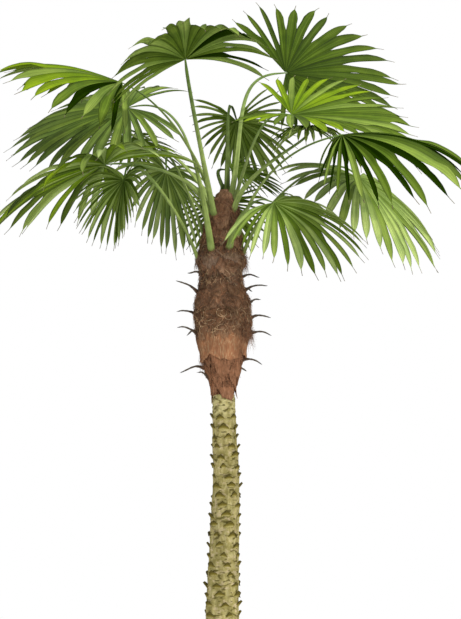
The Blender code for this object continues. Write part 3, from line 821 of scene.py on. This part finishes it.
def build_teeth(name, frond):
    """Blunt little teeth along both edges of a petiole, all pointing up the stalk."""
    line = petiole_spine(frond, np.linspace(0, 1, 40))
    count = int(np.linalg.norm(np.diff(line, axis=0), axis=1).sum() * 0.86 / TOOTH_STEP)
    slip, size = drawn(np.random.default_rng(int(name)), 2 * count, (-0.004, 0.004), (0.6, 1.15))
    size *= TOOTH_LENGTH
    one = bmesh.new()
    bmesh.ops.create_cone(one, cap_ends=True, segments=4, radius1=1, radius2=0.2, depth=2)
    mesh, flat = copies(one, 2 * count)
    share = np.tile(np.linspace(0.08, 0.90, count), 2)[:, None] + slip
    points, ahead, radius, side, up = petiole_frame(frond, share)
    out = side * np.repeat((-1, 1), count)[:, None, None]
    grown = (flat[..., 2] + 1) / 2 * size
    co = points + out * (radius * 1.22)[..., None] - out * 0.0010 + out * grown[..., None]
    co = co + ahead * (flat[..., 0] * size * 0.45 + grown * 0.6)[..., None]
    return placed("petiole_teeth_" + name, mesh, co + up * (flat[..., 1] * size * 0.22)[..., None])


def petiole_look(name, middle, specular):
    look, tree = plain(name, middle, 0.55, specular)
    lines = stretched_noise(tree, (34, 3, 1), 4.0, coordinates="UV")
    dark, pale = shades(middle, 0.58, 1.45)
    body = ramp(tree, lines, ((0.30, dark), (0.52, middle), (0.72, pale)))
    patches = stretched_noise(tree, (16, 16, 16), 3.0)
    shade = ramp(tree, patches, ((0.35, (0.72, 0.74, 0.66)), (0.62, (1.08, 1.08, 1.05))))
    along = axis_read(tree, "UV", "Y")
    green = ramp(tree, along, ((0.30, 1), (0.65, (0.50, 0.58, 0.50)), (1.0, (0.42, 0.55, 0.34))))
    body = multiplied(tree, 1.0, multiplied(tree, 1.0, body, shade), green)
    return coat(look, body, lines, 0.0012, 0.6)


stalk_look = petiole_look("petiole_look", (0.285, 0.370, 0.105), 0.22)
# A darker copy of the stalk look: painted shade for the stalks at the back of the crown.
shaded_stalk_look = petiole_look("shaded_petiole_look", (0.110, 0.150, 0.040), 0.05)
tooth_look = hair_look("tooth_look", (0.20, 0.22, 0.08))
for name, frond in FRONDS.items():
    stalk = build_petiole(name, frond)
    cover(stalk, shaded_stalk_look if name in SHADED_STALKS else stalk_look)
    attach(stalk, "root")
    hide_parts("petiole_" + name)
    row = build_teeth(name, frond)
    cover(row, tooth_look)
    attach(row, "root")

# ------------------------------------------------------------------ 5. blades
# Each blade is a round pleated fan of tough leaflets, joined near the hub and free further out,
# every one folded to a shallow trough along its rib. The free ends arch under their own weight
# and run out in thin dry threads. Some blades are lime, some pale and some dark and dull.
LEAFLETS, LEAF_COLUMNS, LEAF_THICKNESS = 30, 6, 0.0014
FULL_HALF_SPREAD = 145                       # degrees of a fan that has all these leaflets
JOINED_SHARE = 0.24                          # share of a leaflet that is joined at least
FREE_OVER, OPEN_OVER, SLIM_OVER = 0.16, 0.07, 0.2   # shares in which it comes free, opens and slims
PLEAT_SHARE, PLEAT_DEPTH, FREE_DROOP = 0.36, 0.0105, 0.03
LEAF_SHARES = np.concatenate((np.linspace(0.014, 0.82, 31), np.linspace(0.82, 1.0, 11)[1:]))
DRY_FROM = 0.925                             # share of a leaflet beyond which it is a dry thread
# A leaflet's width by the share of its free length, and its most by the share of its whole length.
WIDTH_LINE = ((0, 1.0), (0.15, 1.06), (0.45, 1.08), (0.66, 0.96), (0.79, 0.68), (0.86, 0.36),
              (0.90, 0.11), (0.925, 0.045), (1.0, 0.03))
TIP_LINE = ((0.76, 1.1), (0.85, 0.76), (0.90, 0.38), (0.93, 0.07), (1.0, 0.03))
THREAD_HALF_WIDTH, BEND_STEPS = 0.0016, 60
# Young blades keep broad leaflets that hang together further out: added share, and fullness.
YOUNG = {"01": (0.10, 1.0), "02": (0.14, 1.0), "04": (0.05, 0.94), "05": (0.09, 1.0), "06": (0.02, 0.92),
         "11": (0.13, 0.98), "12": (0.14, 1.0), "13": (0.14, 1.0), "14": (0.05, 0.95), "16": (0.0, 0.90)}
OLD = (0.0, 0.82)
SHADED_FULLNESS = 0.62                       # the leaflets that hang in shade have curled narrow
# How much shorter the outermost leaflets are than the middle ones: most fans, and one hanging fan.
EDGE_LOSS = 0.28
SHORT_SIDED = {"04": 0.62}

# Tints as upper and lower face, dealt out by leaflet: each frond's own mixtures, from its right
# hand edge to its left. Most lower faces are a little paler as painted light shining through the
# leaf, and the shaded tint is painted shade: near black leaflets that hang in the crown's shade.
TINTS = {"deep": ((0.044, 0.076, 0.008), (0.056, 0.090, 0.012)),
         "dark": ((0.062, 0.104, 0.009), (0.078, 0.122, 0.015)),
         "mid": ((0.088, 0.145, 0.012), (0.106, 0.164, 0.020)),
         "fresh": ((0.176, 0.256, 0.044), (0.202, 0.284, 0.062)),
         "pale": ((0.300, 0.400, 0.118), (0.325, 0.425, 0.140)),
         "lime": ((0.168, 0.264, 0.006), (0.168, 0.264, 0.014)),
         "dull": ((0.122, 0.186, 0.038), (0.138, 0.204, 0.052)),
         "shaded": ((0.010, 0.026, 0.0004), (0.013, 0.030, 0.0006))}
DEALT = {"01": "dark deep dark dark", "02": "mid lime lime mid fresh | mid fresh mid | lime lime fresh",
         "03": "fresh pale mid", "04": "shaded fresh shaded mid | shaded fresh dark shaded mid | dark mid",
         "05": "pale pale pale fresh", "06": "pale fresh mid pale | fresh pale mid | fresh pale",
         "07": "mid dark", "08": "fresh mid fresh", "09": "mid dull", "10": "mid",
         "11": "fresh mid dark | mid fresh mid | fresh mid shaded fresh",
         "12": "lime fresh | lime lime fresh | shaded fresh mid", "13": "dull fresh dull",
         "14": "fresh dark lime pale | fresh pale lime dark | pale lime fresh", "15": "pale fresh pale mid",
         "16": "fresh pale dull"}


def at_rows(rays):
    """The rays' values at the blade's rows, between their steps."""
    place = LEAF_SHARES * BEND_STEPS
    low = np.minimum(place.astype(int), BEND_STEPS - 1)
    part = (place - low)[None, :, None]
    return rays[:, low] * (1 - part) + rays[:, low + 1] * part


def bent_rays(frond, angles, lengths, droops, sways=0.0):
    """Rays out from the hub, bent down by their own weight: points, sides and faces by row."""
    hub, aim, _, _, fold, _, _ = frond
    axis, left, upper = frond_axes(aim)
    droops, sways = (value + 0 * lengths for value in (droops, sways))
    turn, lift = np.radians(angles)[:, None], math.radians(fold)
    start = unit(axis * np.cos(turn) + left * np.sin(turn) * math.cos(lift)
                 + upper * abs(np.sin(turn)) * math.sin(lift))
    across = unit(np.cross(start, upper))
    face = unit(upper - start * (start @ upper)[:, None])
    point = np.array(hub) + start * 0
    points, sides, faces = [point], [np.cross(start, face)], [face]
    for step in range(BEND_STEPS):
        share = (step + 0.5) / BEND_STEPS
        pull = droops * (0.15 + 0.85 * share ** 1.5)
        swing = sways * (max(0, share - 0.4) ** 2 + 9 * max(0, share - 0.88))
        ahead = unit(start - np.array((0, 0, 1)) * pull[:, None] + across * swing[:, None])
        point = point + ahead * (lengths / BEND_STEPS)[:, None]
        face = unit(face - ahead * np.sum(face * ahead, axis=1, keepdims=True))
        points.append(point)
        sides.append(np.cross(ahead, face))
        faces.append(face)
    return [at_rows(np.stack(found, 1)) for found in (points, sides, faces)]


def deal_tints(name, count):
    """The tints that the frond has, and each leaflet's place among them."""
    thirds = [part.split() for part in DEALT[name].split("|")]
    dealt = list(dict.fromkeys(tint for third in thirds for tint in third))
    tints = []
    for leaflet in range(count):
        third = thirds[leaflet * len(thirds) // count]
        tints.append(dealt.index(third[leaflet % len(third)]))
    return dealt, tints


def slit_rows(pick, joined, edges, spread):
    """The row where each slit between two leaflets starts: most leave the joined part early, and
    here and there two or three leaflets hang together almost to their tips."""
    deeper = np.clip(np.cos(abs(edges) / spread * np.pi / 2 * 1.15), 0, 1)
    splits = JOINED_SHARE + joined + 0.20 * deeper ** 1.5
    splits += pick.uniform(-0.04, 0.05, len(edges))
    splits += np.where(pick.random(len(edges)) < 0.20, pick.uniform(0.10, 0.26, len(edges)), 0)
    cut = np.searchsorted(LEAF_SHARES, splits)
    cut[0] = cut[-1] = 0
    return cut


def leaflet_points(pick, name, frond, edges, cut, full):
    """Every leaflet's points by column and row, joined and pleated at first and then free."""
    _, _, reach_full, droop, _, spread, _ = frond
    count = len(edges) - 1
    step = 2 * spread / count
    middles = edges[:-1] + step / 2
    starts = LEAF_SHARES[np.minimum(cut, len(LEAF_SHARES) - 1)]

    def reach(angle):
        return reach_full * (1 - SHORT_SIDED.get(name, EDGE_LOSS) * (abs(angle) / spread) ** 1.3)

    def half_leaflet(share):
        """Half the distance between the middles of two neighbours."""
        return reach(middles)[:, None] * share * math.radians(step) / 2

    own = pick.uniform(0.86, 1.16, count)
    lengths = reach(middles) * pick.uniform(0.99, 1.08, count)
    sways = pick.uniform(-0.38, 0.38, count)
    edge_points, _, edge_faces = bent_rays(frond, edges, reach(edges), droop)
    joined_points, _, joined_faces = bent_rays(frond, middles, reach(middles), droop)
    free_points, free_sides, free_faces = bent_rays(frond, middles, lengths, droop * own + FREE_DROOP, sways)
    place = np.zeros((count, LEAF_COLUMNS + 1, len(LEAF_SHARES), 3))
    half = half_leaflet(LEAF_SHARES)
    pleat = np.minimum(half * PLEAT_SHARE, PLEAT_DEPTH)
    first = np.minimum(starts[:-1], starts[1:])
    first[0], first[-1] = starts[1], starts[-2]
    loose = np.clip((LEAF_SHARES - first[:, None]) / FREE_OVER, 0, 1)
    loose = (loose * loose * (3 - 2 * loose))[..., None]
    middle = joined_points * (1 - loose) + free_points * loose
    face = unit(joined_faces * (1 - loose) + free_faces * loose)
    middle = middle - face * (pleat * 0.8)[..., None]
    for hand, shift in ((-1, 0), (1, 1)):
        start = starts[shift:count + shift][:, None]
        rim = edge_points[shift:count + shift] + edge_faces[shift:count + shift] * pleat[..., None]
        outer = shift * (count - 1)
        start[outer] = first[outer]
        gone = np.clip((LEAF_SHARES - start) / (1 - start), 0, 1)
        slim = 1 - (1 - full) * np.clip(gone / SLIM_OVER, 0, 1)
        taper = np.minimum(np.interp(gone, *zip(*WIDTH_LINE)), np.interp(LEAF_SHARES, *zip(*TIP_LINE)))
        width = np.maximum(half_leaflet(start) * slim * taper, THREAD_HALF_WIDTH)
        width = np.minimum(width, half * 0.93)
        trough = np.interp(gone, (0, 0.5, 0.9, 1), (0.50, 0.42, 0.30, 0.5))
        free_edge = (middle - free_sides * hand * (width * np.cos(trough))[..., None]
                     + face * (width * np.sin(trough) * 1.1)[..., None])
        open_up = np.clip((LEAF_SHARES - start) / OPEN_OVER, 0, 1)[..., None]
        edge_line = rim * (1 - open_up) + free_edge * open_up
        for column, share in enumerate(np.linspace(-1, 1, LEAF_COLUMNS + 1)):
            if share * hand > 0 or (share == 0 and hand > 0):
                bulge = face * (0.10 * abs(share) * (1 - abs(share)) * width)[..., None]
                place[:, column] = middle + (edge_line - middle) * abs(share) - bulge
    return place


def build_blade(name, frond):
    spread, (joined, fullness) = frond[5], YOUNG.get(name, OLD)
    count = round(LEAFLETS * spread / FULL_HALF_SPREAD)
    columns, rows = count * LEAF_COLUMNS, len(LEAF_SHARES) - 1
    pick = np.random.default_rng(100 + int(name))
    edges = -spread + 2 * spread / count * np.arange(count + 1)
    cut = slit_rows(pick, joined, edges, spread)
    dealt, tints = deal_tints(name, count)
    full = np.array([SHADED_FULLNESS if dealt[tint] == "shaded" else fullness for tint in tints])
    place = leaflet_points(pick, name, frond, edges, cut, full[:, None])
    bm = grid(columns, rows)

    def cell(co):
        return round((co.x + 1) / 2 * columns), round((co.y + 1) / 2 * rows)

    sheet, own_leaflet = bm.loops.layers.uv.new("leaf"), bm.faces.layers.int.new("leaflet")
    dry = DRY_FROM + pick.uniform(0, 0.03, count)
    for leaf_face in bm.faces:
        place_on = leaf_face.calc_center_median()
        leaflet = leaf_face[own_leaflet] = int((place_on.x + 1) / 2 * count)
        along = LEAF_SHARES[int((place_on.y + 1) / 2 * rows)]
        leaf_face.material_index = len(dealt) if along > dry[leaflet] else tints[leaflet]
        for loop in leaf_face.loops:
            loop[sheet].uv = ((loop.vert.co.x + 1) / 2 * count, (loop.vert.co.y + 1) / 2)
    slits = []
    for edge in bm.edges:
        (column, row), (other, above) = (cell(vert.co) for vert in edge.verts)
        between = column == other and column % LEAF_COLUMNS == 0 and 0 < column < columns
        if between and min(row, above) >= cut[column // LEAF_COLUMNS]:
            slits.append(edge)
    bmesh.ops.split_edges(bm, edges=slits)
    for vert in bm.verts:
        column, row = cell(vert.co)
        leaflet = vert.link_faces[0][own_leaflet]
        vert.co = place[leaflet, column - leaflet * LEAF_COLUMNS, row]
    bm.faces.layers.int.remove(own_leaflet)
    bm.normal_update()
    _, _, upper = frond_axes(frond[1])
    near = [f for f in bm.faces if f.loops[0][sheet].uv.y < 0.3]
    if sum(f.normal.dot(Vector(upper)) for f in near) < 0:
        bmesh.ops.reverse_faces(bm, faces=bm.faces)
    blade = finished("fan_blade_" + name, bm)
    for side in (0, 1):
        cover(blade, *(leaf_looks[tint][side] for tint in dealt), tip_look)
    thickened(blade, LEAF_THICKNESS, -1).material_offset = len(dealt) + 1
    return blade


def leaf_look(name, colour, roughness, specular):
    """Leaf green with a pale rib down each leaflet, painted shade in the pleat valleys between leaflets,
    fine lengthwise veins and soft patches.
    """
    look, tree = plain(name, colour, roughness, specular)
    beside_rib = reckoned(tree, "FRACT", axis_read(tree, "UV", "X"))
    beside_rib = reckoned(tree, "PINGPONG", beside_rib, 0.5)
    veins = stretched_noise(tree, (9, 1.1, 1), 4.0, coordinates="UV", roughness=0.65)
    patches = stretched_noise(tree, (7, 7, 7), 3.0)
    dark, pale = shades(colour, 0.58, 1.48)
    base = ramp(tree, veins, ((0.34, dark), (0.52, colour), (0.72, pale)))
    # Painted shade: dark along each leaflet's edges, in the pleat valleys, and the pale rib at its middle.
    valley_shade = ramp(tree, beside_rib, ((0.0, (0.30, 0.34, 0.26)), (0.09, (0.78, 0.81, 0.74)),
                                    (0.26, 1), (0.43, 1), (0.47, (1.28, 1.24, 1.35))))
    heart = ramp(tree, axis_read(tree, "UV", "Y"), ((0.0, (0.50, 0.56, 0.40)), (0.32, (0.90, 0.93, 0.82)),
                                                    (0.85, (1.18, 1.12, 1.30))))
    shade = ramp(tree, patches, ((0.35, (0.80, 0.84, 0.78)), (0.62, (1.14, 1.10, 1.06))))
    base = multiplied(tree, 0.9, multiplied(tree, 0.9, base, valley_shade), shade)
    return coat(look, multiplied(tree, 1.0, base, heart), veins, 0.0015, 0.45)


leaf_looks = {tint: (leaf_look(tint + "_leaf", upper, 0.60, 0.05 * (tint != "shaded")),
                     leaf_look(tint + "_leaf_under", under, 0.70, 0.03 * (tint != "shaded")))
              for tint, (upper, under) in TINTS.items()}
tip_look = hair_look("dry_tip", (0.150, 0.130, 0.075))
for name, frond in FRONDS.items():
    blade = build_blade(name, frond)
    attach(blade, "root")
    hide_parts("blade_" + name)

# ------------------------------------------------------------------ 6. floor, light and camera
# A plain pale floor at the foot of the palm, a bright even sky and two soft lamps on the right, one
# high up and one low in front. The camera stands at eye height, eleven metres off, and looks a
# little upwards.
FLOOR_RADIUS, FLOOR_DROP, SKY_STRENGTH = 14.0, 0.002, 0.66
EYE = Vector((0.055, -11.0, 1.55))
PITCH_UP, LENS, SENSOR = math.radians(7.806), 99.3, 36.0

floor_mesh = bmesh.new()
bmesh.ops.create_circle(floor_mesh, cap_ends=True, segments=96, radius=FLOOR_RADIUS)
bmesh.ops.translate(floor_mesh, verts=floor_mesh.verts, vec=(0, 0, -FLOOR_DROP))
floor = finished("floor", floor_mesh, smooth=False)
cover(floor, plain("floor_look", (0.80, 0.80, 0.79), 0.9, 0.1)[0])

sky = bpy.data.worlds.new("studio")
sky.use_nodes = True
bpy.context.scene.world = sky
tree = sky.node_tree
ground = tree.nodes["Background"]
level = ranged(tree, axis_read(tree, "Generated", "Z"), -1.0, 1.0)
dome = ramp(tree, level, ((0.0, (0.38, 0.38, 0.33)), (0.46, (0.48, 0.49, 0.45)),
                          (0.60, (0.80, 0.82, 0.82)), (1.0, (1.12, 1.14, 1.13))))
tree.links.new(dome, ground.inputs["Color"])
ground.inputs["Strength"].default_value = SKY_STRENGTH
blank = wired(tree, "ShaderNodeBackground", Color=(1, 1, 1, 1), Strength=1.0)
seen = tree.nodes.new("ShaderNodeLightPath").outputs["Is Camera Ray"]
both = tree.nodes.new("ShaderNodeMixShader")
for socket, source in zip(both.inputs, (seen, ground.outputs[0], blank.outputs[0])):
    tree.links.new(source, socket)
tree.links.new(both.outputs[0], tree.nodes["World Output"].inputs["Surface"])


def soft_lamp(name, place, aim, size, power, colour):
    lamp = bpy.data.lights.new(name, "AREA")
    lamp.shape, lamp.size, lamp.energy, lamp.color = "DISK", size, power, colour
    holder = in_scene(name, lamp)
    holder.location = place
    holder.rotation_euler = (Vector(aim) - Vector(place)).to_track_quat("-Z", "Y").to_euler()


soft_lamp("key_lamp", (5.0, -4.0, 12.0), (0, 0, 3.6), 2.0, 900, (1.0, 0.98, 0.90))
soft_lamp("fill_lamp", (4.5, -10.0, 3.0), (0, 0, 2.6), 4.5, 400, (1.0, 0.98, 0.95))

lens = bpy.data.cameras.new("camera")
lens.lens, lens.sensor_width = LENS, SENSOR
camera = in_scene("camera", lens)
camera.location = EYE
camera.rotation_euler = (math.pi / 2 + PITCH_UP, 0, 0)
bpy.context.scene.camera = camera
bpy.context.scene.view_settings.view_transform = "Standard"
